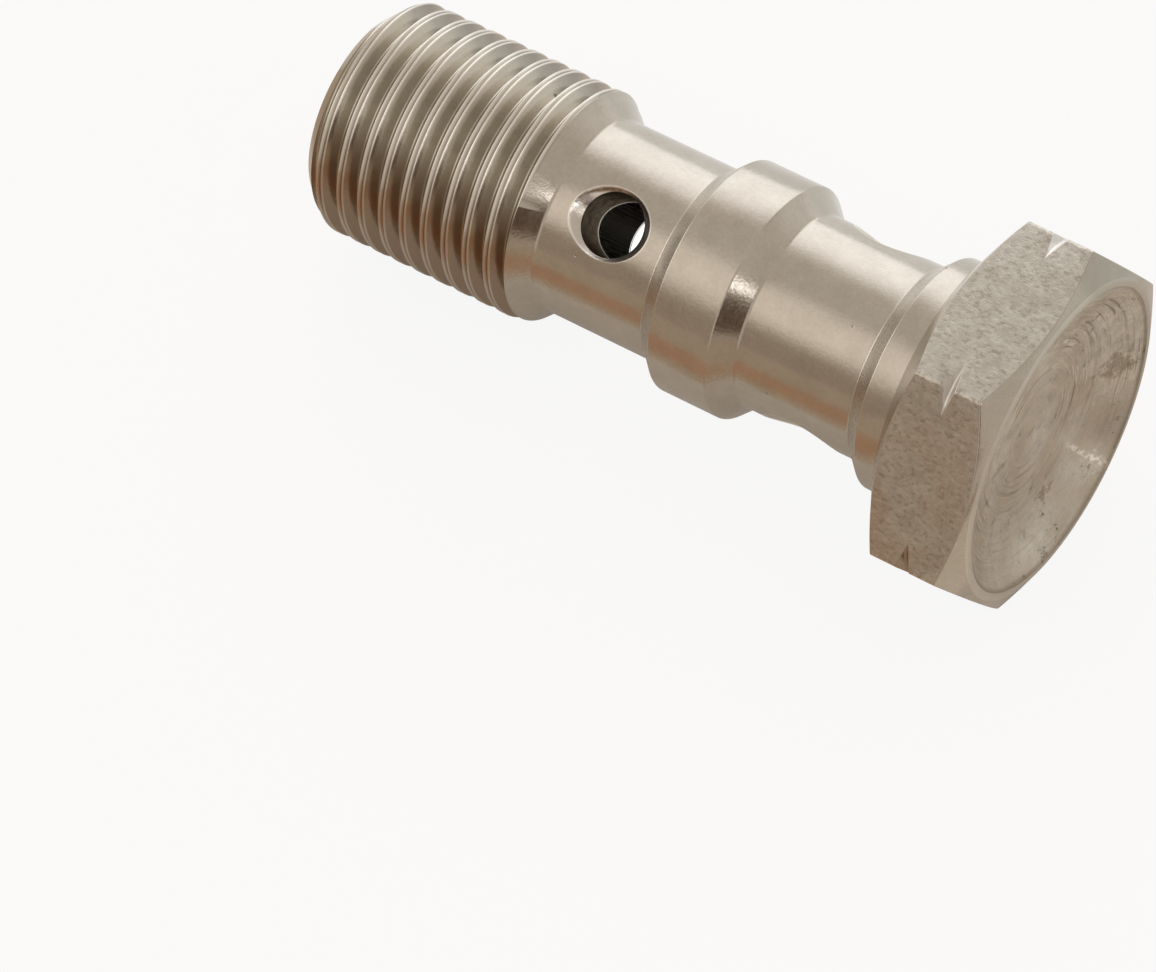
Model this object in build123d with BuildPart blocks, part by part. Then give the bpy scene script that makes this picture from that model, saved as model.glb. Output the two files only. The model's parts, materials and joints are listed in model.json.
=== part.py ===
from build123d import *
from math import atan2, cos, radians, sin, tan
import os

# Double banjo bolt, M10 x 1 right-hand, turned in one piece from stainless hexagon bar.
# Two waisted necks carry fluid from a blind axial bore out through cross-drilled holes, one for
# each banjo fitting. A collar between the necks and a land under the head keep both fittings
# and their sealing washers on centre. All sizes are in millimetres and degrees.

# Thread: modelled as the plain cylinder of its major diameter
thread_diameter = 9.9
thread_length = 9.05
tip_face_diameter = 8.2

# Shank between the thread and the head
neck_diameter = 8.2
lower_neck_length = 5.1
upper_neck_length = 5.16
collar_diameter = 9.87
collar_length = 2.62
land_diameter = 9.76
land_length = 1.52
shoulder_angle = 45
shoulder_edge_radius = 0.12
neck_root_radius = 0.2

# Head
across_flats = 13.9
flat_count = 6
flat_corner_radius = 0.16
head_height = 4.69
bearing_face_inset = 0.95
bearing_chamfer_angle = 30
end_face_inset = 0.3
end_chamfer_angle = 27
corner_groove_depth = 0.47
corner_groove_angle = 62
blank_margin = 0.1
rim_width = 0.25
rim_edge_radius = 0.5
dish_depth = 1.2
dish_wall_angle = 35
dish_floor_blend = 4

# Fluid passages
bore_diameter = 3.6
bore_mouth_chamfer = 0.3
bore_past_upper_hole = 0.7
drill_point_angle = 118
cross_hole_diameter = 2.6
sink_diameter = 3.3
sink_angle = 90
mouths_per_hole = 2
lower_hole_bearing = 30
upper_hole_bearing = 120

# Radii
thread_radius = thread_diameter / 2
tip_face_radius = tip_face_diameter / 2
neck_radius = neck_diameter / 2
collar_radius = collar_diameter / 2
land_radius = land_diameter / 2
flat_radius = across_flats / 2
flat_half_turn = 180 / flat_count
corner_radius = flat_radius / cos(radians(flat_half_turn))
bearing_face_radius = flat_radius - bearing_face_inset
end_face_radius = flat_radius - end_face_inset
dish_radius = end_face_radius - rim_width
dish_floor_radius = dish_radius - dish_depth / tan(radians(dish_wall_angle))
groove_radius = corner_radius - corner_groove_depth
bore_radius = bore_diameter / 2
cross_hole_radius = cross_hole_diameter / 2

# Stations along the axis, from the tip face up to the head's end face
shoulder_slope = tan(radians(shoulder_angle))
thread_start = (thread_radius - tip_face_radius) / shoulder_slope
thread_end = thread_start + thread_length
lower_neck_start = thread_end + (thread_radius - neck_radius) / shoulder_slope
lower_neck_end = lower_neck_start + lower_neck_length
collar_start = lower_neck_end + (collar_radius - neck_radius) / shoulder_slope
collar_end = collar_start + collar_length
upper_neck_start = collar_end + (collar_radius - neck_radius) / shoulder_slope
upper_neck_end = upper_neck_start + upper_neck_length
land_start = upper_neck_end + (land_radius - neck_radius) / shoulder_slope
bearing_face = land_start + land_length
end_face = bearing_face + head_height

# Each cross hole is halfway along its neck, and the bore ends just past the upper one
lower_hole_station = (lower_neck_start + lower_neck_end) / 2
upper_hole_station = (upper_neck_start + upper_neck_end) / 2
bore_full_depth = upper_hole_station + cross_hole_radius + bore_past_upper_hole
bore_point_depth = bore_full_depth + bore_radius / tan(radians(drill_point_angle / 2))

# The chamfers rise from the end faces to just past the hexagon's corners
blank_radius = corner_radius + blank_margin
bearing_slope = tan(radians(bearing_chamfer_angle))
end_slope = tan(radians(end_chamfer_angle))
bearing_chamfer_top = bearing_face + (blank_radius - bearing_face_radius) * bearing_slope
end_chamfer_foot = end_face - (blank_radius - end_face_radius) * end_slope

# The groove runs midway up the corners that the two chamfers leave
corner_foot = bearing_face + (corner_radius - bearing_face_radius) * bearing_slope
corner_top = end_face - (corner_radius - end_face_radius) * end_slope
groove_station = (corner_foot + corner_top) / 2
groove_half_width = (blank_radius - groove_radius) * tan(radians(corner_groove_angle / 2))

# The bolt lies on the lower flat's edge and on the thread's first turn, so its axis dips to the tip
flat_foot = bearing_face + (flat_radius - bearing_face_radius) * bearing_slope
rest_tilt = atan2(flat_radius - thread_radius, flat_foot - thread_start)
tip_height = thread_radius * cos(rest_tilt) - thread_start * sin(rest_tilt)
rim_arc_station = end_face - rim_edge_radius
rim_arc_centre = end_face_radius - rim_edge_radius * tan(radians(end_chamfer_angle / 2))
lowest_x = -tip_face_radius * sin(rest_tilt)
highest_x = rim_arc_station * cos(rest_tilt) + rim_arc_centre * sin(rest_tilt) + rim_edge_radius
tip_x = -(lowest_x + highest_x) / 2

# Working planes: one square to the axis at the tip, and one holding the axis for turned profiles
tip_plane = Plane(
    origin=(tip_x, 0, tip_height),
    x_dir=(-sin(rest_tilt), 0, cos(rest_tilt)),
    z_dir=(cos(rest_tilt), 0, sin(rest_tilt)),
)
turning_plane = Plane(origin=tip_plane.origin, x_dir=tip_plane.z_dir, z_dir=tip_plane.y_dir)
bolt_axis = Axis(tip_plane.origin, tip_plane.z_dir)

with BuildPart(tip_plane) as banjo_bolt:
    # Hexagon bar with slightly rounded corners, turned so that one flat faces up
    with BuildSketch(tip_plane.offset(bearing_face)) as hexagon:
        RegularPolygon(flat_radius, flat_count, major_radius=False, rotation=flat_half_turn)
        fillet(hexagon.vertices(), radius=flat_corner_radius)
    extrude(amount=head_height)

    # Turned form of the head: both chamfers, the corner groove, and the dished end whose cone
    # runs into its floor in one long curve
    with BuildSketch(turning_plane):
        with BuildLine():
            FilletPolyline(
                (bearing_face, 0),
                (bearing_face, bearing_face_radius),
                (bearing_chamfer_top, blank_radius),
                (groove_station - groove_half_width, blank_radius),
                (groove_station, groove_radius),
                (groove_station + groove_half_width, blank_radius),
                (end_chamfer_foot, blank_radius),
                (end_face, end_face_radius),
                (end_face, dish_radius),
                (end_face - dish_depth, dish_floor_radius),
                (end_face - dish_depth, 0),
                radius=(0, 0, 0, 0, 0, 0, rim_edge_radius, 0, dish_floor_blend),
            )
            Line((end_face - dish_depth, 0), (bearing_face, 0))
        make_face()
    revolve(axis=bolt_axis, mode=Mode.INTERSECT)

    # Turned form of the shank, with a small radius at each neck's roots and on each shoulder
    with BuildSketch(turning_plane):
        with BuildLine():
            FilletPolyline(
                (0, 0),
                (0, tip_face_radius),
                (thread_start, thread_radius),
                (thread_end, thread_radius),
                (lower_neck_start, neck_radius),
                (lower_neck_end, neck_radius),
                (collar_start, collar_radius),
                (collar_end, collar_radius),
                (upper_neck_start, neck_radius),
                (upper_neck_end, neck_radius),
                (land_start, land_radius),
                (bearing_face, land_radius),
                (bearing_face, 0),
                radius=(
                    *(0, 0, shoulder_edge_radius),
                    *(neck_root_radius, neck_root_radius),
                    *(shoulder_edge_radius, shoulder_edge_radius),
                    *(neck_root_radius, neck_root_radius),
                    *(shoulder_edge_radius, 0),
                ),
            )
            Line((bearing_face, 0), (0, 0))
        make_face()
    revolve(axis=bolt_axis)

    # Axial bore, drilled up from the tip, with a broken edge at its mouth
    with BuildSketch(turning_plane):
        with BuildLine():
            Polyline(
                (0, 0),
                (0, bore_radius + bore_mouth_chamfer),
                (bore_mouth_chamfer, bore_radius),
                (bore_full_depth, bore_radius),
                (bore_point_depth, 0),
                close=True,
            )
        make_face()
    revolve(axis=bolt_axis, mode=Mode.SUBTRACT)

    # Cross holes, countersunk where they break out on both sides of each neck
    outward = (0, 90, 0)
    for station, bearing in (
        (lower_hole_station, lower_hole_bearing),
        (upper_hole_station, upper_hole_bearing),
    ):
        with Locations((0, 0, station)):
            with PolarLocations(neck_radius, mouths_per_hole, start_angle=bearing):
                with Locations(Location((0, 0, 0), outward)):
                    CounterSinkHole(cross_hole_radius, sink_diameter / 2, neck_radius, sink_angle)

banjo_bolt.part.label = "banjo_bolt"
os.makedirs("parts", exist_ok=True)
export_step(banjo_bolt.part, "parts/banjo_bolt.step")
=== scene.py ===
from collections import namedtuple
from math import cos, pi, radians, sin, tan
import json

import bpy
from mathutils import Matrix, Vector


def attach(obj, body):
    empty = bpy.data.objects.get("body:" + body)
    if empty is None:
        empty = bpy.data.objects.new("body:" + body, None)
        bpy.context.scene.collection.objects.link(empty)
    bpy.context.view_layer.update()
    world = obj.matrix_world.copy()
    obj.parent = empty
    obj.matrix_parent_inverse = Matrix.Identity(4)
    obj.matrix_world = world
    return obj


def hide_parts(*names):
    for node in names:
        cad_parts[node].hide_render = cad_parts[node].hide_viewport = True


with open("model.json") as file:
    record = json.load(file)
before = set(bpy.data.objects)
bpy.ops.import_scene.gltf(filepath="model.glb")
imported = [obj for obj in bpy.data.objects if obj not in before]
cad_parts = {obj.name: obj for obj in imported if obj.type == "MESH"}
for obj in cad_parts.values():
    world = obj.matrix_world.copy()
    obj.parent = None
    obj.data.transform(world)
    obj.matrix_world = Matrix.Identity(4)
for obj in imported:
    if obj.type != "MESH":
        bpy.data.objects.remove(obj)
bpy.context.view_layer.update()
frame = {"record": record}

# How the bolt lies. The record's mounts give its axis, from the thread's tip to the head, and the
# distance of each feature from the tip face. Lengths of the bolt itself are in millimetres.
METRES_PER_MM = 0.001
tip_chamfer = 0.85
mounts = {mount["name"]: mount for mount in frame["record"]["mounts"]}
thread_radius = mounts["thread"]["dims"]["r_mm"]
thread_length = mounts["thread"]["dims"]["length_mm"]
bolt_axis = -Vector(mounts["thread"]["axis"]).normalized()
tip = Vector(mounts["thread"]["pos_m"]) - bolt_axis * (tip_chamfer + thread_length / 2) * METRES_PER_MM


def station(name):
    """A mount's distance from the tip face along the bolt, in millimetres."""
    return (Vector(mounts[name]["pos_m"]) - tip).dot(bolt_axis) / METRES_PER_MM


side_of_bolt = -Vector((0, 0, 1)).cross(bolt_axis).normalized()
top_of_bolt = side_of_bolt.cross(bolt_axis).normalized()
bolt_to_world = Matrix((bolt_axis, top_of_bolt, side_of_bolt)).transposed().to_4x4()
bolt_to_world.translation = tip

# Turned blank. The bolt starts as hexagon bar of stainless steel, turned down in a lathe to the
# shank, with a collar between two waisted necks, a chamfered head and a dished end face.
neck_radius = 4.1
collar_radius = mounts["collar"]["dims"]["r_mm"]
collar_length = mounts["collar"]["dims"]["length_mm"]
land_radius = mounts["under_head_land"]["dims"]["r_mm"]
land_length = mounts["under_head_land"]["dims"]["length_mm"]
across_flats = 13.9
head_height = 4.69
bearing_face_radius = 6.0
bearing_slope = tan(radians(30))
end_face_radius = 6.64
end_slope = tan(radians(27))
groove_radius = 7.5
groove_slope = tan(radians(31))
dish_radius = 6.4
dish_depth = 1.2
dish_floor_radius = dish_radius - dish_depth / tan(radians(35))
thread_allowance = 0.05

# Rounds of the blank's edges and roots
corner_round = 0.165
broken_edge = 0.05
chamfer_edge = 0.07
neck_root = 0.2
shoulder_edge = 0.12
land_root = 0.15
groove_edge = 0.03
groove_root = 0.12
end_face_edge = 0.5
dish_floor_blend = 4.0

# Stations of its steps
collar_start = station("collar") - collar_length / 2
collar_end = station("collar") + collar_length / 2
land_start = station("under_head_land") - land_length / 2
bearing_face = station("bearing_face")
groove_station = station("hexagon")
end_face = bearing_face + head_height
thread_end = tip_chamfer + thread_length
blank_radius = thread_radius + thread_allowance
lower_neck_start = thread_end + thread_radius - neck_radius
lower_neck_end = collar_start - collar_radius + neck_radius
upper_neck_start = collar_end + collar_radius - neck_radius
upper_neck_end = land_start - land_radius + neck_radius

FLATS = 6
HALF_FLAT = radians(30)
CORNER_CROWDING = 0.75
ARC_POINTS_PER_MM = 20
MERGE_MM = 1e-5
columns_per_blank_flat = 48


class Field:
    """A number in a node tree. Sums and products with it add Math nodes to the tree."""

    def __init__(self, tree, socket):
        self.tree = tree
        self.socket = socket

    def math(self, operation, *others):
        """Adds a Math node that works on this number and any others."""
        node = self.tree.nodes.new("ShaderNodeMath")
        node.operation = operation
        for place, value in enumerate((self,) + others):
            plug(self.tree, node.inputs[place], value)
        return Field(self.tree, node.outputs[0])

    def __add__(self, other):
        return self.math("ADD", other)

    def __sub__(self, other):
        return self.math("SUBTRACT", other)

    def __mul__(self, other):
        return self.math("MULTIPLY", other)

    def __truediv__(self, other):
        return self.math("DIVIDE", other)

    def __neg__(self):
        return self * -1

    def choose(self, condition, other):
        """The other field where the condition holds, and this one elsewhere."""
        return self + condition * (-self + other)


def plug(tree, socket, value):
    """Feeds a node's socket with a field, another socket or a plain value."""
    if isinstance(value, Field):
        value = value.socket
    if isinstance(value, bpy.types.NodeSocket):
        tree.links.new(value, socket)
    else:
        socket.default_value = value


def add_node(tree, kind, inputs, **settings):
    """Adds a node, with its settings and the values of its named inputs."""
    node = tree.nodes.new(kind)
    for name, value in settings.items():
        setattr(node, name, value)
    for name, value in inputs.items():
        plug(tree, node.inputs[name], value)
    return node


def combine(tree, x, y, z):
    """A vector made of three numbers or fields."""
    return add_node(tree, "ShaderNodeCombineXYZ", {"X": x, "Y": y, "Z": z}).outputs[0]


def split(tree, vector):
    """The three fields that make up a vector."""
    parts = add_node(tree, "ShaderNodeSeparateXYZ", {"Vector": vector})
    return [Field(tree, part) for part in parts.outputs]


def start_tree(name, inputs):
    """A new geometry tree with a mesh going in and out, and one named input for each size."""
    tree = bpy.data.node_groups.new(name, "GeometryNodeTree")
    tree.interface.new_socket("Geometry", in_out="INPUT", socket_type="NodeSocketGeometry")
    tree.interface.new_socket("Geometry", in_out="OUTPUT", socket_type="NodeSocketGeometry")
    for label, kind in inputs.items():
        tree.interface.new_socket(label, in_out="INPUT", socket_type="NodeSocket" + kind)
    entry = tree.nodes.new("NodeGroupInput")
    return tree, {socket.name: Field(tree, socket) for socket in entry.outputs if socket.name}


def end_tree(tree, geometry):
    """Plugs the finished mesh into the tree's output."""
    leave = tree.nodes.new("NodeGroupOutput")
    tree.links.new(geometry, leave.inputs["Geometry"])


def run_tree(piece, tree, values):
    """Runs a geometry tree on a piece and keeps the result as the piece's plain mesh."""
    modifier = piece.modifiers.new(tree.name, "NODES")
    modifier.node_group = tree
    for socket in tree.interface.items_tree:
        if socket.in_out == "INPUT" and socket.name in values:
            modifier[socket.identifier] = values[socket.name]
    bpy.context.view_layer.update()
    evaluated = piece.evaluated_get(bpy.context.evaluated_depsgraph_get())
    result = bpy.data.meshes.new_from_object(evaluated)
    piece.modifiers.remove(modifier)
    piece.data = result


def drawn_profile(name, corners):
    """A line through (station, radius, fillet, slope) corners, for a geometry tree to turn.
    A corner with a slope lies on the hexagon, and moves along the bolt as the hexagon stands out."""
    outline = bpy.data.meshes.new(name)
    edges = [(place, place + 1) for place in range(len(corners) - 1)]
    outline.from_pydata([(corner[0], corner[1], 0) for corner in corners], edges, [])
    for label, column in (("fillet", 2), ("slope", 3)):
        attribute = outline.attributes.new(label, "FLOAT", "POINT")
        attribute.data.foreach_set("value", [corner[column] for corner in corners])
    piece = bpy.data.objects.new(name, outline)
    bpy.context.scene.collection.objects.link(piece)
    return piece


def read_label(tree, label):
    """The number that each corner of a profile carries under a label."""
    node = add_node(tree, "GeometryNodeInputNamedAttribute", {"Name": label})
    return Field(tree, node.outputs["Attribute"])


def position_in(tree):
    """The place of each point."""
    return tree.nodes.new("GeometryNodeInputPosition").outputs[0]


def count_points(tree, curve):
    """How many points a line has, or all the lines of a set together."""
    node = add_node(tree, "GeometryNodeAttributeDomainSize", {"Geometry": curve}, component="CURVE")
    return Field(tree, node.outputs["Point Count"])


def rounded_off(tree, curve):
    """Fillets each corner of a profile, with more points on the larger rounds."""
    fillet = read_label(tree, "fillet")
    points = (fillet * ARC_POINTS_PER_MM).math("CEIL") + 1
    inputs = {"Curve": curve, "Count": points, "Radius": fillet, "Limit Radius": True}
    return add_node(tree, "GeometryNodeFilletCurve", inputs, mode="POLY").outputs[0]


def move_points(tree, geometry, x, y, z=0.0):
    """Puts each point of a mesh or a line where three fields say."""
    inputs = {"Geometry": geometry, "Position": combine(tree, x, y, z)}
    return add_node(tree, "GeometryNodeSetPosition", inputs).outputs[0]


def point_of(tree, curve, number):
    """The place of the point with a given number on a set of lines, as three fields."""
    inputs = {"Geometry": curve, "Value": position_in(tree), "Index": number}
    sampled = add_node(
        tree, "GeometryNodeSampleIndex", inputs, data_type="FLOAT_VECTOR", domain="POINT"
    )
    return split(tree, sampled.outputs[0])


def wrap_round(tree, skin, along, radius, bearing):
    """Wraps a grid round the bolt's axis, and joins its last column to its first."""
    upward = radius * bearing.math("COSINE")
    sideways = radius * bearing.math("SINE")
    wrapped = move_points(tree, skin, along, upward, sideways)
    inputs = {"Geometry": wrapped, "Distance": MERGE_MM}
    return add_node(tree, "GeometryNodeMergeByDistance", inputs).outputs[0]


# The lathe tree skins a ring of copies of the profile. Each copy's corners are first moved to the
# hexagon at its own bearing, and then filleted, so every edge of the blank has its small round.
lathe, value = start_tree(
    "lathe", {"Columns per flat": "Int", "Flat radius": "Float", "Corner round": "Float"}
)
columns_per_flat = value["Columns per flat"]
columns = columns_per_flat * FLATS
profile = add_node(lathe, "GeometryNodeMeshToCurve", {"Mesh": value["Geometry"]}).outputs[0]
inputs = {"Geometry": profile, "Amount": columns}
copies = add_node(lathe, "GeometryNodeDuplicateElements", inputs, domain="SPLINE").outputs[0]
index = Field(lathe, lathe.nodes.new("GeometryNodeInputIndex").outputs[0])


def bearing_of(column):
    """Splits a column's number into its flat and its angle from that flat's middle, in radians.
    Columns crowd towards the hexagon's corners, where the small rounds need them."""
    flat = (column / columns_per_flat).math("FLOOR")
    across = (column - flat * columns_per_flat) * 2 / columns_per_flat - 1
    crowded = (across * (pi / 2)).math("SINE") * CORNER_CROWDING + across * (1 - CORNER_CROWDING)
    return flat, crowded * HALF_FLAT


# The hexagon's distance from the axis at a column's bearing, on its flat or on its rounded corner
flat, lean = bearing_of((index / count_points(lathe, profile)).math("FLOOR"))
flat_radius = value["Flat radius"]
round_radius = value["Corner round"]
corner_centre = (flat_radius - round_radius) / cos(HALF_FLAT)
tangent_lean = (corner_centre * sin(HALF_FLAT) / flat_radius).math("ARCTANGENT")
from_corner = -lean.math("ABSOLUTE") + HALF_FLAT
off_centre = corner_centre * from_corner.math("SINE")
half_chord = (round_radius * round_radius - off_centre * off_centre).math("MAXIMUM", 0.0).math("SQRT")
round_part = corner_centre * from_corner.math("COSINE") + half_chord
flat_part = flat_radius / lean.math("COSINE")
on_round = lean.math("ABSOLUTE").math("GREATER_THAN", tangent_lean)
hexagon = flat_part.choose(on_round, round_part)

# The copies are held within the hexagon, filleted, and wrapped round the axis
along, radius, _ = split(lathe, position_in(lathe))
slope = read_label(lathe, "slope")
standing_out = (hexagon - radius).math("MAXIMUM", 0.0)
on_hexagon = slope.math("ABSOLUTE").math("GREATER_THAN", 0.0)
held_in = radius.math("MINIMUM", hexagon).choose(on_hexagon, hexagon)
filleted = rounded_off(lathe, move_points(lathe, copies, along + slope * standing_out, held_in))
total = count_points(lathe, filleted)
rows = total / columns
skin = add_node(lathe, "GeometryNodeMeshGrid", {"Vertices X": columns + 1, "Vertices Y": rows})
flat, lean = bearing_of((index / rows).math("FLOOR"))
along, radius, _ = point_of(lathe, filleted, index.math("MODULO", total))
bearing = flat * (2 * HALF_FLAT) + lean
end_tree(lathe, wrap_round(lathe, skin.outputs[0], along, radius, bearing))

blank = drawn_profile(
    "blank",
    [
        (0, 0, 0, 0),
        (0, neck_radius, broken_edge, 0),
        (tip_chamfer + thread_allowance, blank_radius, 0, 0),
        (thread_end - thread_allowance, blank_radius, 0, 0),
        (lower_neck_start, neck_radius, neck_root, 0),
        (lower_neck_end, neck_radius, neck_root, 0),
        (collar_start, collar_radius, shoulder_edge, 0),
        (collar_end, collar_radius, shoulder_edge, 0),
        (upper_neck_start, neck_radius, neck_root, 0),
        (upper_neck_end, neck_radius, neck_root, 0),
        (land_start, land_radius, shoulder_edge, 0),
        (bearing_face, land_radius, land_root, 0),
        (bearing_face, bearing_face_radius, broken_edge, 0),
        (bearing_face, bearing_face_radius, chamfer_edge, bearing_slope),
        (groove_station, groove_radius, groove_edge, -groove_slope),
        (groove_station, groove_radius, groove_root, 0),
        (groove_station, groove_radius, groove_edge, groove_slope),
        (end_face, end_face_radius, chamfer_edge, -end_slope),
        (end_face, end_face_radius, end_face_edge, 0),
        (end_face, dish_radius, broken_edge, 0),
        (end_face - dish_depth, dish_floor_radius, dish_floor_blend, 0),
        (end_face - dish_depth, 0, 0, 0),
    ],
)
run_tree(
    blank,
    lathe,
    {"Columns per flat": columns_per_blank_flat, "Flat radius": across_flats / 2,
     "Corner round": corner_round},
)

# Thread, M10 x 1 right-hand. It is rolled, so each crest is two fine lips with a crease between
# them, and the tool runs out through the shoulder, where the last groove leaves its mark.
pitch = 1.0
crease_depth = 0.07
crest_half_width = 0.14
lip_share = 0.75
lip_round = 0.02
crest_round = 0.03
root_round = 0.08
flank_slope = tan(radians(30))
sharp_root_radius = thread_radius - (pitch / 2 - crest_half_width) / flank_slope
run_out = 0.05
die_clearance = 0.3
die_wall = 7.0
die_flare = 0.8
FLARE_SLOPE = 2.0
WALL_ROWS = 3
die_columns = 200
die_start = -die_clearance
die_end = thread_end + run_out
die_turns = int((die_end - die_start + 2 * die_flare) / pitch) + 2

# The threading tree winds the thread's form into a helix that flares at both ends, and closes it
# with a plain wall outside, so that the die is a solid ring that cuts the grooves.
threading, value = start_tree(
    "threading",
    {"Columns": "Int", "Turns": "Int", "Pitch": "Float", "Crest station": "Float", "Start": "Float",
     "End": "Float", "Inner radius": "Float", "Flare": "Float", "Wall": "Float"},
)
plain_form = add_node(threading, "GeometryNodeMeshToCurve", {"Mesh": value["Geometry"]}).outputs[0]
form = rounded_off(threading, plain_form)
form_points = count_points(threading, form)
helix_rows = value["Turns"] * form_points
rows = helix_rows + WALL_ROWS
inputs = {"Vertices X": value["Columns"] + 1, "Vertices Y": rows}
skin = add_node(threading, "GeometryNodeMeshGrid", inputs)
index = Field(threading, threading.nodes.new("GeometryNodeInputIndex").outputs[0])
column = (index / rows).math("FLOOR")
row = index - column * rows
turn = (row / form_points).math("FLOOR")
form_along, form_radius, _ = point_of(threading, form, row - turn * form_points)

# Where a point of the helix lies, held between the two flared mouths
around = column / value["Columns"]
near_end = value["Start"] - value["Flare"]
far_end = value["End"] + value["Flare"]
turns_back = ((value["Crest station"] - near_end) / value["Pitch"]).math("CEIL") + 1
helix = form_along + (turn + around - turns_back) * value["Pitch"] + value["Crest station"]
middle = (value["Start"] + value["End"]) * 0.5
past_end = (helix - middle).math("ABSOLUTE") - (value["End"] - value["Start"]) * 0.5
flared = past_end.math("MINIMUM", value["Flare"]) * FLARE_SLOPE + value["Inner radius"]
mouth = value["Flare"] * FLARE_SLOPE + value["Inner radius"]

# The last rows are the wall: out at the far end, back along it, and in at the near end
wall_row = row - helix_rows
on_helix = (wall_row + 0.5).math("LESS_THAN", 0.0)
at_far_end = (wall_row - 0.5).math("LESS_THAN", 0.0)
on_wall = (wall_row - 1.5).math("LESS_THAN", 0.0)
along_helix = helix.math("MAXIMUM", near_end).math("MINIMUM", far_end)
along = near_end.choose(at_far_end, far_end).choose(on_helix, along_helix)
radius = mouth.choose(on_wall, value["Wall"]).choose(on_helix, flared.math("MAXIMUM", form_radius))
ring = wrap_round(threading, skin.outputs[0], along, radius, around * (2 * pi))
end_tree(threading, add_node(threading, "GeometryNodeFlipFaces", {"Mesh": ring}).outputs[0])

die = drawn_profile(
    "die",
    [
        (0, thread_radius - crease_depth, 0, 0),
        (crest_half_width * lip_share, thread_radius, lip_round, 0),
        (crest_half_width, thread_radius, crest_round, 0),
        (pitch / 2, sharp_root_radius, root_round, 0),
        (pitch - crest_half_width, thread_radius, crest_round, 0),
        (pitch - crest_half_width * lip_share, thread_radius, lip_round, 0),
        (pitch, thread_radius - crease_depth, 0, 0),
    ],
)
run_tree(
    die,
    threading,
    {"Columns": die_columns, "Turns": die_turns, "Pitch": pitch, "Crest station": thread_end,
     "Start": die_start, "End": die_end, "Inner radius": neck_radius, "Flare": die_flare,
     "Wall": die_wall},
)

# Fluid passages. A blind hole is drilled up the middle from the tip, and each neck is drilled right
# through across the bolt, at right angles to the other, with its mouths countersunk.
bore_radius = mounts["fluid_bore"]["dims"]["r_mm"]
bore_length = mounts["fluid_bore"]["dims"]["length_mm"]
bore_start = station("fluid_bore") - bore_length / 2
bore_end = bore_start + bore_length
bore_point_length = bore_radius / tan(radians(59))
cross_hole_radius = 1.32
sink_radius = 1.73
sink_depth = sink_radius - cross_hole_radius
drill_overrun = 0.9
bore_drill_columns = 16
cross_drill_columns = 12
clear_of_flats = 100.0
lower_hole_offset = 0.02
lower_hole = ((lower_neck_start + lower_neck_end) / 2 + lower_hole_offset, radians(29.1))
upper_hole = ((upper_neck_start + upper_neck_end) / 2, radians(119.1))

bore_drill = drawn_profile(
    "bore_drill",
    [
        (-drill_overrun, 0, 0, 0),
        (-drill_overrun, bore_radius + bore_start + drill_overrun, 0, 0),
        (bore_start, bore_radius, 0, 0),
        (bore_end, bore_radius, 0, 0),
        (bore_end + bore_point_length, 0, 0, 0),
    ],
)
cross_drill = drawn_profile(
    "cross_drill",
    [
        (-neck_radius - drill_overrun, 0, 0, 0),
        (-neck_radius - drill_overrun, sink_radius + drill_overrun, 0, 0),
        (-neck_radius + sink_depth, cross_hole_radius, 0, 0),
        (neck_radius - sink_depth, cross_hole_radius, 0, 0),
        (neck_radius + drill_overrun, sink_radius + drill_overrun, 0, 0),
        (neck_radius + drill_overrun, 0, 0, 0),
    ],
)
for drill, drill_columns in ((bore_drill, bore_drill_columns), (cross_drill, cross_drill_columns)):
    run_tree(
        drill,
        lathe,
        {"Columns per flat": drill_columns, "Flat radius": clear_of_flats, "Corner round": corner_round},
    )
upper_drill = bpy.data.objects.new("upper_drill", cross_drill.data.copy())
bpy.context.scene.collection.objects.link(upper_drill)
for drill, (hole_station, hole_bearing) in ((cross_drill, lower_hole), (upper_drill, upper_hole)):
    moved = Matrix.Translation((hole_station, 0, 0)) @ Matrix.Rotation(hole_bearing, 4, "X")
    drill.data.transform(moved @ Matrix.Rotation(pi / 2, 4, "Z"))

# Turned faces, of bare stainless steel. The lathe's tool leaves fine rings round the necks, the
# collar, the land and the shoulders, and the rings stretch the steel's gloss along the bolt.
STEEL = (0.56, 0.52, 0.455)
PALE_STEEL = (0.64, 0.6, 0.53)
DULL_STEEL = (0.46, 0.42, 0.36)
DULL_RIM = (0.61, 0.575, 0.51)
PALE_RIM = (0.71, 0.675, 0.6)
PIT_BROWN = (0.2, 0.15, 0.11)
UPPER_SHADE_BROWN = (0.2, 0.17, 0.13)
BACK_SHADE_GREY = (0.35, 0.33, 0.29)
LIP_WEAR_AND_HIGHLIGHT = (0.92, 0.89, 0.84)
upper_shade_height = (3.1, 3.7)
upper_shade_front = (0.2, 1.6)
far_shade_span = (-3.0, -2.3)
lip_width = (0.02, 0.07)

Spot = namedtuple("Spot", "along upward sideways radius")


def spot_at(tree, position):
    """A place's fields: its station, its height and its way aside from the axis, and its radius."""
    along, upward, sideways = split(tree, position)
    return Spot(along, upward, sideways, (upward * upward + sideways * sideways).math("SQRT"))


def rise(field, low, high):
    """0 below one value of the field and 1 above another, with a straight slope between them."""
    return ((field - low) / (high - low)).math("MAXIMUM", 0.0).math("MINIMUM", 1.0)


def fall(field, low, high):
    """1 below one value of the field and 0 above another, with a straight slope between them."""
    return rise(field, high, low)


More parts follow.
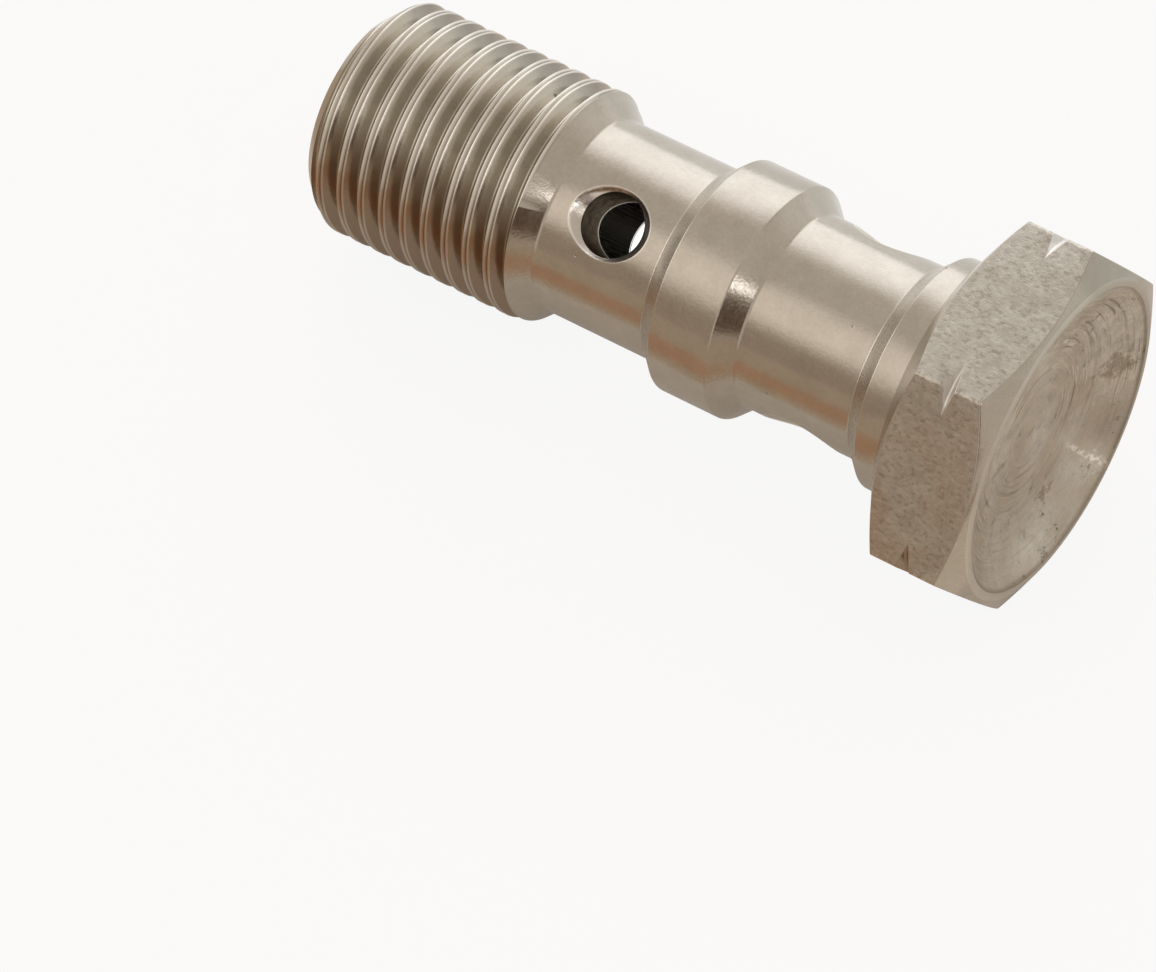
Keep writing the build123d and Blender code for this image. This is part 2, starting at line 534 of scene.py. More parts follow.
class Finish:
    """A bare steel material in the making, which measures the bolt in its own millimetres."""

    def __init__(self, name, colour, roughness):
        self.material = bpy.data.materials.new(name)
        self.material.use_nodes = True
        self.tree = self.material.node_tree
        self.shader = self.tree.nodes["Principled BSDF"]
        self.shader.inputs["Base Color"].default_value = (*colour, 1)
        self.shader.inputs["Metallic"].default_value = 1.0
        self.shader.inputs["Roughness"].default_value = roughness
        self.where = self.tree.nodes.new("ShaderNodeTexCoord").outputs["Object"]
        turn = bolt_to_world.to_euler()
        inputs = {"Vector": self.where, "Location": tip, "Rotation": turn, "Scale": (METRES_PER_MM,) * 3}
        self.local = add_node(self.tree, "ShaderNodeMapping", inputs, vector_type="TEXTURE").outputs[0]
        self.spot = spot_at(self.tree, self.local)
        self.tone = colour

    def noise(self, scale, detail=3.0, roughness=0.5, vector=None):
        """Soft noise from 0 to 1, with as many cells to each unit of its vector as its scale."""
        where = self.local if vector is None else vector
        inputs = {"Vector": where, "Scale": scale, "Detail": detail, "Roughness": roughness}
        return Field(self.tree, add_node(self.tree, "ShaderNodeTexNoise", inputs).outputs[0])

    def specks(self, per_mm, size, share):
        """Round specks at random places, one to a cell, in a share of the cells."""
        cell = add_node(self.tree, "ShaderNodeTexVoronoi", {"Vector": self.local, "Scale": per_mm})
        chosen = Field(self.tree, cell.outputs["Color"]).math("GREATER_THAN", 1 - share)
        return fall(Field(self.tree, cell.outputs["Distance"]), size * 0.5, size) * chosen

    def stretched(self, along_mm, across_mm):
        """Coordinates for marks of one length along the bolt and another across it."""
        spot = self.spot
        return combine(
            self.tree, spot.along / along_mm, spot.upward / across_mm, spot.sideways / across_mm
        )

    def ringed(self, width_mm, length_mm):
        """Coordinates that run fast across the lathe's rings and slowly round them."""
        spot = self.spot
        across = (spot.along + spot.radius * 1.3) / width_mm
        return combine(self.tree, across, spot.upward / length_mm, spot.sideways / length_mm)

    def blend(self, amount, first, second):
        """Mixes two tones, each a colour or another mix, by a field from 0 to 1."""
        mix = add_node(self.tree, "ShaderNodeMix", {"Factor": amount}, data_type="RGBA")
        for name, tone in (("A", first), ("B", second)):
            plug(self.tree, mix.inputs[name], (*tone, 1) if isinstance(tone, tuple) else tone)
        return mix.outputs["Result"]

    def ground(self, amount, first, second):
        """Gives the steel its first two tones, mixed by a field from 0 to 1."""
        self.tone = self.blend(amount, first, second)

    def coat(self, amount, colour):
        """Lays a colour over the tones so far, as far as a field from 0 to 1 says."""
        self.tone = self.blend(amount, self.tone, colour)

    def emboss(self, height_mm):
        """Feeds the shader's normal with a height field in millimetres."""
        inputs = {"Height": height_mm, "Distance": METRES_PER_MM, "Strength": 1.0}
        bump = add_node(self.tree, "ShaderNodeBump", inputs)
        self.tree.links.new(bump.outputs[0], self.shader.inputs["Normal"])

    def roughen(self, roughness):
        """Feeds the shader's roughness with a field."""
        plug(self.tree, self.shader.inputs["Roughness"], roughness)

    def stretch_gloss(self, amount):
        """Stretches the gloss across the lathe's rings, with the tangent running round the bolt."""
        inputs = {0: self.where, 1: tip}
        from_tip = add_node(self.tree, "ShaderNodeVectorMath", inputs, operation="SUBTRACT")
        inputs = {0: bolt_axis, 1: from_tip.outputs[0]}
        round_bolt = add_node(self.tree, "ShaderNodeVectorMath", inputs, operation="CROSS_PRODUCT")
        self.tree.links.new(round_bolt.outputs[0], self.shader.inputs["Tangent"])
        self.shader.inputs["Anisotropic"].default_value = amount
        self.shader.inputs["Anisotropic Rotation"].default_value = 0.25

    def done(self):
        """The material, with its tones plugged in."""
        plug(self.tree, self.shader.inputs["Base Color"], self.tone)
        return self.material


def from_hole(spot, hole):
    """A point's distance from the axis of one cross hole, in millimetres."""
    hole_station, hole_bearing = hole
    ahead = spot.along - hole_station
    aside = spot.sideways * cos(hole_bearing) - spot.upward * sin(hole_bearing)
    return (ahead * ahead + aside * aside).math("SQRT")


def up_hole(spot, hole):
    """How far up a cross hole a point lies from the bolt's axis, in millimetres."""
    hole_bearing = hole[1]
    return spot.upward * cos(hole_bearing) + spot.sideways * sin(hole_bearing)


def past_sink(spot, hole):
    """How far a point of the neck lies outside one cross hole's countersink, in millimetres."""
    return from_hole(spot, hole) - up_hole(spot, hole).math("ABSOLUTE") + (neck_radius - sink_radius)


def nearer_hole(measure, spot):
    """The smaller of a point's measures from the two cross holes."""
    return measure(spot, lower_hole).math("MINIMUM", measure(spot, upper_hole))


def turn_steel(name, roughness, dull=DULL_STEEL, pale=PALE_STEEL, upper_shade=0.0):
    """Steel as the lathe's tool leaves it, with faint rings, a fine grain and small pits. Some of it
    has painted brown shade on the upper front, the far side has painted grey shade, and each
    countersink's lip on the neck is pale, partly from rubbing and partly painted highlight."""
    finish = Finish(name, STEEL, roughness)
    spot = finish.spot
    rings = finish.noise(1.0, vector=finish.ringed(0.07, 2.5))
    cloud = finish.noise(1.0, 5.0, 0.75)
    grain = finish.noise(8.0, 2.0, 0.6)
    pits = finish.specks(1.6, 0.11, 0.16)
    towards_head = rise(spot.along, collar_start, collar_end) * 0.4 + 1
    upper_shaded = rise(spot.upward, *upper_shade_height) * rise(spot.sideways, *upper_shade_front) * towards_head
    finish.ground(rise(cloud, 0.36, 0.64) * 0.3 + grain * 0.3 + 0.2, dull, pale)
    # Painted shade: brown over the upper front, stronger towards the head.
    finish.coat(upper_shaded * upper_shade, UPPER_SHADE_BROWN)
    # Painted shade: the far side is greyed darker.
    finish.coat(fall(spot.sideways, *far_shade_span) * 0.35, BACK_SHADE_GREY)
    # Pale lip round each countersink, partly rubbed and partly painted highlight.
    finish.coat(fall(nearer_hole(past_sink, spot), *lip_width) * 0.75, LIP_WEAR_AND_HIGHLIGHT)
    finish.coat(pits * 0.7, PIT_BROWN)
    finish.emboss(rings * 0.0022 + grain * 0.003 + cloud * 0.005 - pits * 0.02)
    finish.roughen(grain * 0.1 + rings * 0.06 + (roughness - 0.08))
    finish.stretch_gloss(0.7)
    return finish.done()


turned_steel = turn_steel("turned_steel", 0.19)
# Only the faced cones carry the painted shade on the upper front.
faced_steel = turn_steel("faced_steel", 0.28, upper_shade=0.34)
rim_steel = turn_steel("rim_steel", 0.3, DULL_RIM, PALE_RIM)

# Groove across the hexagon's corners, turned after the flats. Its bright tones are partly fresh cut
# and partly painted highlight. Low on the head it has painted brown shade, and on the front corner
# the wall that faces the end has painted shade.
GROOVE_BASE = (0.8, 0.77, 0.75)
GROOVE_DULL = (0.74, 0.72, 0.69)
GROOVE_PALE = (0.88, 0.86, 0.83)
GROOVE_SHADE = (0.48, 0.45, 0.4)
GROOVE_LOW_SHADE = (0.4, 0.33, 0.26)
shaded_front = (1.0, 3.0)
low_groove_shade = (1.5, 3.0)


def groove_steel():
    """Bright steel with a fine grain, partly painted highlight, with painted shade low down and on one
    wall.
    """
    finish = Finish("grooved_steel", GROOVE_BASE, 0.3)
    spot = finish.spot
    grain = finish.noise(6.0, 2.0, 0.6)
    facing_end = fall(spot.along, groove_station - 0.05, groove_station)
    finish.ground(grain, GROOVE_DULL, GROOVE_PALE)
    # Painted shade on the front corner's wall that faces the end.
    finish.coat(facing_end * rise(spot.sideways, *shaded_front) * 0.7, GROOVE_SHADE)
    # Painted shade: brown low on the head.
    finish.coat(fall(spot.upward, *low_groove_shade), GROOVE_LOW_SHADE)
    finish.emboss(grain * 0.004)
    return finish.done()


grooved_steel = groove_steel()

# Flats of the hexagon, which keep the pitted skin of drawn bar. Handling has rubbed the tips of the
# skin pale, the corners are bright, partly rubbed and partly painted highlight, and the front flat is
# tinted a faint brown in patches.
BAR_DULL = (0.475, 0.445, 0.387)
BAR_PALE = (0.59, 0.57, 0.507)
BAR_FRONT_BROWN = (0.53, 0.42, 0.33)
BAR_HOLLOW = (0.27, 0.22, 0.17)
BAR_PEAK = (0.72, 0.69, 0.62)
BAR_CORNER = (0.9, 0.84, 0.76)
brown_front_side = (3.9, 4.3)
corner_band_radius = (7.972, 8.0)


def draw_steel():
    """Matt steel with small pits and peaks, a little longer along the bar than across it."""
    finish = Finish("drawn_steel", STEEL, 0.42)
    spot = finish.spot
    skin = finish.stretched(0.22, 0.16)
    mottle = finish.noise(0.22, 5.0, 0.72, skin)
    pitting = finish.noise(1.0, 2.0, 0.6, skin)
    cloud = finish.noise(0.5)
    corner_wear_and_highlight = rise(spot.radius + (pitting - 0.5) * 0.2, *corner_band_radius)
    brown_patches = rise(cloud, 0.42, 0.58) * rise(spot.sideways, *brown_front_side)
    finish.ground(rise(mottle, 0.4, 0.6) * 0.8 + cloud * 0.2, BAR_DULL, BAR_PALE)
    # The front flat is tinted brown in cloudy patches.
    finish.coat(brown_patches * 0.4, BAR_FRONT_BROWN)
    finish.coat(fall(pitting, 0.35, 0.45) * 0.4, BAR_HOLLOW)
    finish.coat(rise(pitting, 0.57, 0.65) * 0.28, BAR_PEAK)
    # Bright corners: partly rubbed, partly painted highlight.
    finish.coat(corner_wear_and_highlight * 0.4, BAR_CORNER)
    finish.emboss(mottle * 0.034 + pitting * 0.018)
    finish.roughen(pitting * 0.2 + 0.34)
    return finish.done()


drawn_steel = draw_steel()

# Rolled thread, burnished by its die. Its lips are pale, partly from burnish and partly painted
# highlight, a painted highlight runs along its top, and painted shade makes its grooves brown low
# down and dark at the back. A few nicks mark it.
ROLLED_DULL = (0.45, 0.415, 0.35)
ROLLED_PALE = (0.58, 0.545, 0.475)
ROLLED_TOP_HIGHLIGHT = (0.72, 0.68, 0.6)
ROLLED_BACK_SHADE = (0.27, 0.255, 0.225)
ROLLED_LOW_SHADE = (0.35, 0.27, 0.2)
ROLLED_CHAMFER = (0.75, 0.68, 0.59)
ROLLED_LIP = (0.8, 0.765, 0.7)
low_shade_height = (1.3, 2.8)
top_highlight_back = (-2.6, -1.8)
top_highlight_front = (-0.6, 0.6)
back_shade_span = (-3.6, -1.9)
chamfer_stations = (0.45, 0.75)


def roll_steel():
    """Smooth steel with a painted highlight and painted shade round the thread, pale lips and a pale
    tip chamfer.
    """
    finish = Finish("thread_steel", STEEL, 0.25)
    spot = finish.spot
    grain = finish.noise(8.0, 2.0, 0.6)
    cloud = finish.noise(0.8, 4.0, 0.7)
    nicks = finish.specks(1.2, 0.14, 0.2)
    low_shade = fall(spot.upward - cloud * 1.6, *low_shade_height)
    top_highlight = fall(spot.sideways, *top_highlight_front) * rise(spot.sideways, *top_highlight_back)
    chamfered = fall(spot.along, *chamfer_stations)
    lip = rise(spot.radius, thread_radius - 0.055, thread_radius - 0.02)
    finish.ground(rise(cloud, 0.36, 0.64) * 0.6 + grain * 0.4, ROLLED_DULL, ROLLED_PALE)
    # Painted highlight: a pale band along the top.
    finish.coat(top_highlight * 0.55, ROLLED_TOP_HIGHLIGHT)
    # Painted shade: dark at the back.
    finish.coat(fall(spot.sideways, *back_shade_span), ROLLED_BACK_SHADE)
    # Painted shade: brown low down, broken up by a cloud.
    finish.coat(low_shade, ROLLED_LOW_SHADE)
    finish.coat(chamfered * (low_shade * 0.45 + 0.25), ROLLED_CHAMFER)
    # Pale lips, partly burnished and partly painted highlight, less pale in the painted low shade.
    finish.coat(lip * (low_shade * -0.55 + 1), ROLLED_LIP)
    finish.coat(nicks * 0.8, PIT_BROWN)
    finish.emboss(grain * 0.0015 + cloud * 0.01 - nicks * 0.02)
    finish.roughen(grain * 0.1 + 0.16)
    return finish.done()


thread_steel = roll_steel()

# Dished end face, turned with a tool that left arcs of pale and dark lines, clearest away from its
# middle and its foot. It is blotched and has two dark ragged patches, with painted shade under the
# rim and a painted highlight streak.
DISH_DULL = (0.54, 0.505, 0.438)
DISH_PALE = (0.79, 0.752, 0.675)
DISH_STAIN = (0.5, 0.39, 0.28)
DISH_DARK_ARC = (0.26, 0.2, 0.135)
DISH_PALE_LINE = (0.92, 0.85, 0.74)
DISH_HIGHLIGHT_STREAK = (1.0, 0.95, 0.88)
DISH_DARK_PATCH = (0.28, 0.215, 0.14)
DISH_RIM_SHADE = (0.27, 0.21, 0.15)
worked_radius = (1.0, 2.6)
upper_part = (-4.2, -1.2)
highlight_streak_bearing = radians(209)
highlight_streak_reach = (4.0, 4.6)
highlight_streak_half_width = (0.05, 0.17)
lower_dark_patch = (-4.5, -0.16, 0.45)
back_dark_patch = (-1.77, -5.15, 0.72)


def dish_steel():
    """Blotched steel, with the tool's arcs, dark patches, painted shade and a painted highlight laid over
    it.
    """
    finish = Finish("dished_steel", STEEL, 0.24)
    spot = finish.spot
    patch = rise(finish.noise(0.55, 2.0), 0.42, 0.6)
    mottle = finish.noise(1.6, 5.0, 0.85)
    blots = fall(finish.noise(1.6, 4.0, 0.75), 0.32, 0.38) * (patch * 0.7 + 0.3)
    brown_patches = rise(finish.noise(0.4), 0.46, 0.6)
    upper = rise(spot.upward, *upper_part)

    worked = rise(spot.radius, *worked_radius) * (patch * 0.6 + 0.4) * (upper * 0.75 + 0.25)
    arcs = finish.noise(1.0, 1.0, 0.5, finish.ringed(0.16, 2.6))
    bands = finish.noise(1.0, 2.0, vector=finish.ringed(0.24, 3.2))
    lines = fall((arcs - 0.5).math("ABSOLUTE"), 0.01, 0.045) * worked
    dark_arcs = fall(bands, 0.35, 0.45) * worked

    outward = spot.upward * cos(highlight_streak_bearing) + spot.sideways * sin(highlight_streak_bearing)
    off_highlight_streak = (spot.upward * sin(highlight_streak_bearing) - spot.sideways * cos(highlight_streak_bearing)).math("ABSOLUTE")
    highlight_streak = fall(off_highlight_streak, *highlight_streak_half_width) * rise(outward, *highlight_streak_reach)
    broken_highlight_streak = highlight_streak * rise(finish.noise(5.0), 0.42, 0.56)

    def dark_patch(high, aside, size):
        """A ragged mark round a height and a way aside from the axis."""
        up, across = spot.upward - high, spot.sideways - aside
        ragged = (up * up + across * across).math("SQRT") + (mottle - 0.5) * 3.0
        return fall(ragged, size * 0.5, size)

    rim_shade = rise(spot.radius, dish_radius - 0.2, dish_radius - 0.04)
    contrast = upper * 0.4 + 0.6
    finish.ground((rise(mottle, 0.38, 0.62) - 0.5) * contrast + 0.5, DISH_DULL, DISH_PALE)
    finish.coat(brown_patches * 0.4, DISH_STAIN)
    finish.coat(dark_arcs * 0.8, DISH_DARK_ARC)
    finish.coat(lines * 0.85, DISH_PALE_LINE)
    # Painted highlight: a broken bright streak across the dish.
    finish.coat(broken_highlight_streak * 0.85, DISH_HIGHLIGHT_STREAK)
    # Two dark ragged patches, one low and one at the back.
    finish.coat(dark_patch(*lower_dark_patch).math("MAXIMUM", dark_patch(*back_dark_patch)) * 0.55, DISH_DARK_PATCH)
    # Painted shade: a dark ring just inside the rim.
    finish.coat(rim_shade * 0.6, DISH_RIM_SHADE)
    finish.coat(blots * 0.8, PIT_BROWN)
    finish.emboss(lines * 0.01 - dark_arcs * 0.008 + mottle * 0.02 - blots * 0.03)
    finish.roughen(mottle * 0.16 + 0.24)
    finish.stretch_gloss(0.95)
    return finish.done()


dished_steel = dish_steel()

# Walls of the fluid passages. The drilled walls are streaked and painted dark as shade, and the bore
# inside is painted near-black as shade. A burr where a cross hole breaks into the bore is painted
# bright as its highlight. The lower hole's wall beyond the bore is painted near-white and smooth,
# a painted reflection of the bright card under the hole.
WALL_SHADE_DARK = (0.08, 0.068, 0.056)
WALL_SHADE_BROWN = (0.2, 0.175, 0.148)
BURR_HIGHLIGHT_WHITE = (0.95, 0.92, 0.87)
FAR_WALL_WHITE = (0.98, 0.98, 0.97)
BORE_SHADE_BLACK = (0.012, 0.009, 0.007)
WALL_SHADE_TINT = (0.46, 0.42, 0.375)
NO_TINT = (1.0, 1.0, 1.0)
beyond_bore = (0.4, 0.7)


def bore_steel():
    """Rough steel painted dark as shade, with a burr painted bright, but smooth and near-white on
    the far wall as a painted reflection.
    """
    finish = Finish("bored_steel", STEEL, 0.45)
    spot = finish.spot
    streaks = finish.noise(3.0, 4.0, 0.7)
    over_edge = rise(spot.radius, bore_radius - 0.03, bore_radius)
    burr = fall(spot.radius, bore_radius + 0.05, bore_radius + 0.13) * over_edge
    in_bore = fall(spot.radius, bore_radius - 0.02, bore_radius + 0.01)
    mirrored_far_wall = rise(-up_hole(spot, lower_hole), *beyond_bore) * (-in_bore + 1)
    # Painted shade: the drilled walls are dark, with streaks.
    finish.ground(rise(streaks, 0.36, 0.64), WALL_SHADE_DARK, WALL_SHADE_BROWN)
    # A burr round the bore's edge, painted bright as its highlight.
    finish.coat(burr * 0.8, BURR_HIGHLIGHT_WHITE)
    # Painted reflection: the far wall is near-white and smooth, so that it mirrors the bright card under
    # the hole.
    finish.coat(mirrored_far_wall, FAR_WALL_WHITE)
    # Painted shade: the bore inside is near-black.
    finish.coat(in_bore, BORE_SHADE_BLACK)
    finish.emboss(streaks * (mirrored_far_wall * -0.03 + 0.03) - burr * 0.09)
    finish.roughen(mirrored_far_wall * -0.37 + 0.45)
    # The tint dims the walls' gloss as painted shade, but not on the far wall.
    tint = finish.blend(mirrored_far_wall, WALL_SHADE_TINT, NO_TINT)
    plug(finish.tree, finish.shader.inputs["Specular Tint"], tint)
    return finish.done()


bored_steel = bore_steel()

# Countersinks of the cross holes, cut clean. They are streaked dark brown and grey, painted bright
# low down as painted light, with a narrow painted glint between the two, and their edge on the neck
# is pale, partly wear and partly painted highlight.
SINK_BROWN = (0.2, 0.14, 0.095)
SINK_GREY = (0.5, 0.45, 0.38)
SINK_LIT_LOW = (0.72, 0.68, 0.62)
SINK_PAINTED_GLINT = (1.0, 0.98, 0.95)
SINK_EDGE = (0.9, 0.87, 0.82)
lit_low_height = (3.55, 3.75)
glint_bottom = (3.42, 3.52)
glint_top = (3.72, 3.82)


def sink_steel():
    """Streaked steel, darker above and painted bright below as painted light."""
    finish = Finish("sunk_steel", STEEL, 0.26)
    spot = finish.spot
    streaks = finish.noise(3.0, 4.0, 0.7)
    edge = rise(spot.radius, neck_radius - 0.08, neck_radius - 0.03)
    finish.ground(rise(streaks, 0.36, 0.64), SINK_BROWN, SINK_GREY)
    # Painted light: bright low down.
    finish.coat(fall(spot.upward, *lit_low_height) * 0.85, SINK_LIT_LOW)
    # Painted highlight: a narrow glint band.
    finish.coat(rise(spot.upward, *glint_bottom) * fall(spot.upward, *glint_top), SINK_PAINTED_GLINT)
    # Pale edge on the neck, partly wear and partly painted highlight.
    finish.coat(edge * 0.9, SINK_EDGE)
    finish.emboss(streaks * 0.02)
    return finish.done()


sunk_steel = sink_steel()

# The bolt is cut from its blank by the die and the three drills, smoothed up to its true edges,
# and laid down at rest. It is one solid piece of steel, and each finish covers its own faces.
SHARP_ANGLE = radians(38)
SLACK = 0.01
cutting, value = start_tree(
    "cutting",
    {"Die": "Object", "Bore drill": "Object", "Lower drill": "Object", "Upper drill": "Object",
     "Sharp angle": "Float", "Turned": "Material", "Faced": "Material", "Rim": "Material",
     "Grooved": "Material", "Drawn": "Material", "Threaded": "Material", "Dished": "Material",
     "Bored": "Material", "Sunk": "Material"},
)
inputs = {"Mesh 1": value["Geometry"]}
cut = add_node(cutting, "GeometryNodeMeshBoolean", inputs, operation="DIFFERENCE", solver="MANIFOLD")
for label in ("Die", "Bore drill", "Lower drill", "Upper drill"):
    tool = add_node(cutting, "GeometryNodeObjectInfo", {"Object": value[label]})
    cutting.links.new(tool.outputs["Geometry"], cut.inputs["Mesh 2"])
inputs = {"Geometry": cut.outputs["Mesh"], "Shade Smooth": True}
smooth = add_node(cutting, "GeometryNodeSetShadeSmooth", inputs, domain="FACE")
bend = Field(cutting, cutting.nodes.new("GeometryNodeInputMeshEdgeAngle").outputs["Unsigned Angle"])
sharp = bend.math("GREATER_THAN", value["Sharp angle"])
inputs = {"Geometry": smooth.outputs[0], "Selection": sharp, "Shade Smooth": False}
edged = add_node(cutting, "GeometryNodeSetShadeSmooth", inputs, domain="EDGE")
painted = add_node(cutting, "GeometryNodeRealizeInstances", {"Geometry": edged.outputs[0]})


def above(field, low):
    """1 where the field is over a value, and 0 elsewhere."""
    return field.math("GREATER_THAN", low)


def below(field, high):
    """1 where the field is under a value, and 0 elsewhere."""
    return field.math("LESS_THAN", high)


def between(field, low, high):
    """1 where the field lies between two values, and 0 elsewhere."""
    return above(field, low) * below(field, high)


# Which faces each finish covers, by their place and the way they face. A later one goes over an
# earlier one, and the turned finish goes on everything first.
spot = spot_at(cutting, position_in(cutting))
normal = cutting.nodes.new("GeometryNodeInputNormal").outputs[0]
facing_head, facing_up, facing_aside = split(cutting, normal)
facing_out = (facing_up * spot.upward + facing_aside * spot.sideways) / spot.radius
hole_distance = nearer_hole(from_hole, spot)
within_neck = below(spot.radius, neck_radius + 0.05) * below(facing_out, 0.93)
in_bore = between(spot.along, 0.2, land_start) * below(spot.radius, bore_radius + SLACK)
in_cross_hole = below(hole_distance, cross_hole_radius + SLACK) * within_neck
in_sink = between(hole_distance, cross_hole_radius + SLACK, sink_radius - SLACK) * within_neck
at_groove = between(spot.along, groove_station - 0.45, groove_station + 0.45)
along_flats = between(spot.along, bearing_face, end_face) * between(facing_head, -0.08, 0.08)
over_thread = between(spot.along, 0.0, lower_neck_start) * above(spot.radius, neck_radius + 0.15)
off_shoulder = between(facing_head, -0.95, 0.6)
before_shoulder = between(spot.along, 0.0, thread_end - 0.08)
in_dish = above(spot.along, end_face - dish_depth - SLACK) * below(spot.radius, dish_radius)
zones = {
    "Turned": True,
    "Faced": between(spot.along, lower_neck_start, bearing_face) * between(facing_head, -0.85, -0.6),
    "Rim": above(spot.along, end_face - 0.09) * above(spot.radius, dish_radius + 0.03),
    "Grooved": at_groove * above(spot.radius, 7.3),
    "Drawn": along_flats * above(spot.radius, 6.5),
    "Threaded": over_thread * off_shoulder.math("MAXIMUM", before_shoulder),
    "Dished": in_dish * above(facing_head, 0.1),
    "Bored": in_cross_hole.math("MAXIMUM", in_bore),
    "Sunk": in_sink * above(spot.radius, 3.6),
}
for zone, faces in zones.items():
    inputs = {"Geometry": painted.outputs[0], "Selection": faces, "Material": value[zone]}
    painted = add_node(cutting, "GeometryNodeSetMaterial", inputs)
end_tree(cutting, painted.outputs[0])

bolt = blank
bolt.name = "bolt"
run_tree(
    bolt,
    cutting,
    {"Die": die, "Bore drill": bore_drill, "Lower drill": cross_drill, "Upper drill": upper_drill,
     "Sharp angle": SHARP_ANGLE, "Turned": turned_steel, "Faced": faced_steel, "Rim": rim_steel,
     "Grooved": grooved_steel, "Drawn": drawn_steel, "Threaded": thread_steel,
     "Dished": dished_steel, "Bored": bored_steel, "Sunk": sunk_steel},
)
for tool in (die, bore_drill, cross_drill, upper_drill):
    bpy.data.objects.remove(tool)
bolt.data.transform(bolt_to_world @ Matrix.Scale(METRES_PER_MM, 4))
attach(bolt, "root")
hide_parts("banjo_bolt")

# Floor. A plain pale sheet, seen white, that keeps a soft shadow. Its satin sheen and warm tone
# show in the steel above it.
PAPER = (0.78, 0.72, 0.65)
paper_roughness = 0.35
glow_when_seen = 0.9
glow_in_gloss = 0.1
floor_mesh = bpy.data.meshes.new("floor")
floor_mesh.from_pydata([(-1, -1, 0), (1, -1, 0), (1, 1, 0), (-1, 1, 0)], [], [(0, 1, 2, 3)])
floor = bpy.data.objects.new("floor", floor_mesh)
bpy.context.scene.collection.objects.link(floor)
paper = bpy.data.materials.new("white_paper")
paper.use_nodes = True
page = paper.node_tree
sheet = page.nodes["Principled BSDF"]
sheet.inputs["Base Color"].default_value = (*PAPER, 1)
sheet.inputs["Roughness"].default_value = paper_roughness
light_path = page.nodes.new("ShaderNodeLightPath")
camera_ray, through_ray, gloss_ray = (
    Field(page, light_path.outputs[name])
    for name in ("Is Camera Ray", "Is Transmission Ray", "Is Glossy Ray")
)
share = camera_ray.math("MAXIMUM", through_ray) * glow_when_seen + gloss_ray * glow_in_gloss
glow = add_node(page, "ShaderNodeEmission", {"Strength": 1.0})
mixed = add_node(page, "ShaderNodeMixShader", {0: share, 1: sheet.outputs[0], 2: glow.outputs[0]})
page.links.new(mixed.outputs[0], page.nodes["Material Output"].inputs["Surface"])
floor_mesh.materials.append(paper)

# Glowing cards lie just over the floor round the bolt, lights that only the steel's gloss sees, for
# its reflections of the room. Wide boards go round it, a copper-coloured card lies in front, and small
# cards serve the head and a hole.
CARD_STEPS = 24
bolt_half_length = 0.012


def lay_card(name, colour, near, far, first, last, height, half_length=bolt_half_length, centre=(0.0, 0.0)):
    """A flat card between two distances from the bolt's long oval, from one azimuth to another."""
    bearings = [radians(first + (last - first) * step / CARD_STEPS) for step in range(CARD_STEPS + 1)]
    rim = [
        (centre[0] + cos(turn) * (reach + half_length), centre[1] + sin(turn) * reach, height)
        for reach in (near, far)
        for turn in bearings
    ]
    outer = len(bearings)
    faces = [(step, step + 1, step + outer + 1, step + outer) for step in range(CARD_STEPS)]
    mesh = bpy.data.meshes.new(name)
    mesh.from_pydata(rim, [], faces)
    card = bpy.data.objects.new(name, mesh)
    bpy.context.scene.collection.objects.link(card)
    board = bpy.data.materials.new(name)
    board.use_nodes = True
    tree = board.node_tree
    shine = add_node(tree, "ShaderNodeEmission", {"Color": (*colour, 1), "Strength": 1.0})
    tree.links.new(shine.outputs[0], tree.nodes["Material Output"].inputs["Surface"])
    mesh.materials.append(board)
    card.visible_camera = False
    card.visible_diffuse = False
    card.visible_shadow = False
    card.visible_transmission = False


lay_card("brown_board", (0.47, 0.37, 0.28), 0.011, 0.5, -195, -28, 0.0002)
lay_card("dark_board", (0.3, 0.2, 0.13), 0.011, 0.5, -28, -11, 0.0002)
lay_card("grey_board", (0.68, 0.66, 0.61), 0.02, 0.5, 14, 60, 0.0002)
lay_card("copper_foil", (0.47, 0.29, 0.19), 0.013, 0.026, -150, -60, 0.0004)
lay_card("white_card", (0.92, 0.9, 0.87), 0.0, 0.5, 60, 150, 0.0003)
lay_card("end_card", (0.66, 0.58, 0.48), 0.011, 0.024, -45, -12, 0.0006)
lay_card("far_card", (0.66, 0.59, 0.5), 0.03, 0.055, -29, -4, 0.0006)
lay_card("hole_card", (1.5, 1.48, 1.45), 0.0, 0.003, 0, 360, 0.0005, 0.0, (-0.001, 0.0036))

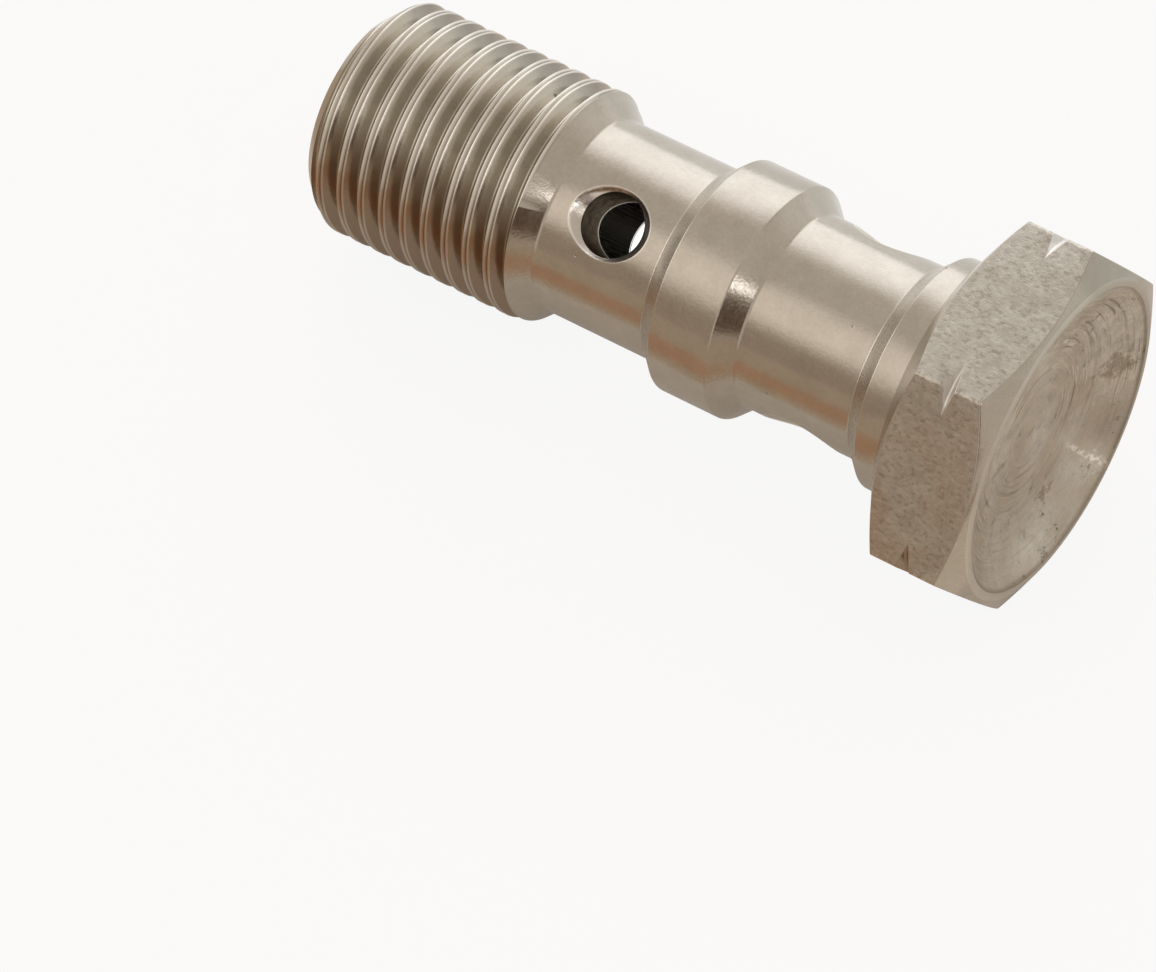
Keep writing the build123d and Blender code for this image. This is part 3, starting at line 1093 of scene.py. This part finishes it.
# Light. A plain warm room, with soft round patches that are brighter or darker. Each has the
# azimuth and elevation of its middle, its inner and outer radius in degrees, and what it adds.
ROOM = (0.63, 0.57, 0.51)
patches = {
    "window behind": (113, 12, 0, 46, (0.9, 0.95, 1.03)),
    "upper pane behind": (128, 30, 0, 34, (0.06, 0.05, 0.05)),
    "lamp high in front": (-129, 46, 0, 29, (0.4, 0.37, 0.33)),
    "shade low in front": (-114, 4, 0, 40, (-0.24, -0.26, -0.27)),
    "small lamp by the head": (-12, 24, 1, 5, (5.4, 5.4, 5.4)),
    "shade by the head": (-26, 8, 10, 22, (-0.53, -0.515, -0.475)),
    "pale wall behind the head": (60, 0, 0, 40, (0.15, 0.17, 0.19)),
    "pale wall behind the tip": (150, 6, 5, 28, (0.25, 0.25, 0.25)),
    "window beyond the tip": (-170, 6, 5, 30, (1.2, 1.2, 1.2)),
}


def toward(azimuth, elevation):
    """The direction at an azimuth from +X and an elevation, in degrees."""
    level = cos(radians(elevation))
    return Vector((level * cos(radians(azimuth)), level * sin(radians(azimuth)), sin(radians(elevation))))


world = bpy.data.worlds.new("studio")
world.use_nodes = True
sky = world.node_tree
ray = sky.nodes.new("ShaderNodeTexCoord").outputs["Generated"]
light = ROOM
for azimuth, elevation, inner, outer, colour in patches.values():
    inputs = {0: ray, 1: toward(azimuth, elevation)}
    nearness = add_node(sky, "ShaderNodeVectorMath", inputs, operation="DOT_PRODUCT").outputs["Value"]
    inputs = {"Value": nearness, "From Min": cos(radians(outer)), "From Max": cos(radians(inner))}
    lobe = add_node(sky, "ShaderNodeMapRange", inputs, interpolation_type="SMOOTHSTEP").outputs[0]
    added = add_node(sky, "ShaderNodeVectorMath", {0: colour, "Scale": lobe}, operation="SCALE").outputs[0]
    light = add_node(sky, "ShaderNodeVectorMath", {0: light, 1: added}, operation="ADD").outputs[0]
sky.links.new(light, sky.nodes["Background"].inputs["Color"])
bpy.context.scene.world = world

# Camera. A long lens looks down on the bolt from the front, on the side of the head, and the
# colours are shown as they are, with no tone curve.
camera_data = bpy.data.cameras.new("camera")
camera_data.lens = 198.45
camera_data.clip_start = 0.01
camera = bpy.data.objects.new("camera", camera_data)
camera.location = (0.079181, -0.113759, 0.212357)
camera.rotation_euler = (radians(31.9688), radians(2.2305), radians(33.6123))
bpy.context.scene.collection.objects.link(camera)
bpy.context.scene.camera = camera
bpy.context.scene.view_settings.view_transform = "Standard"
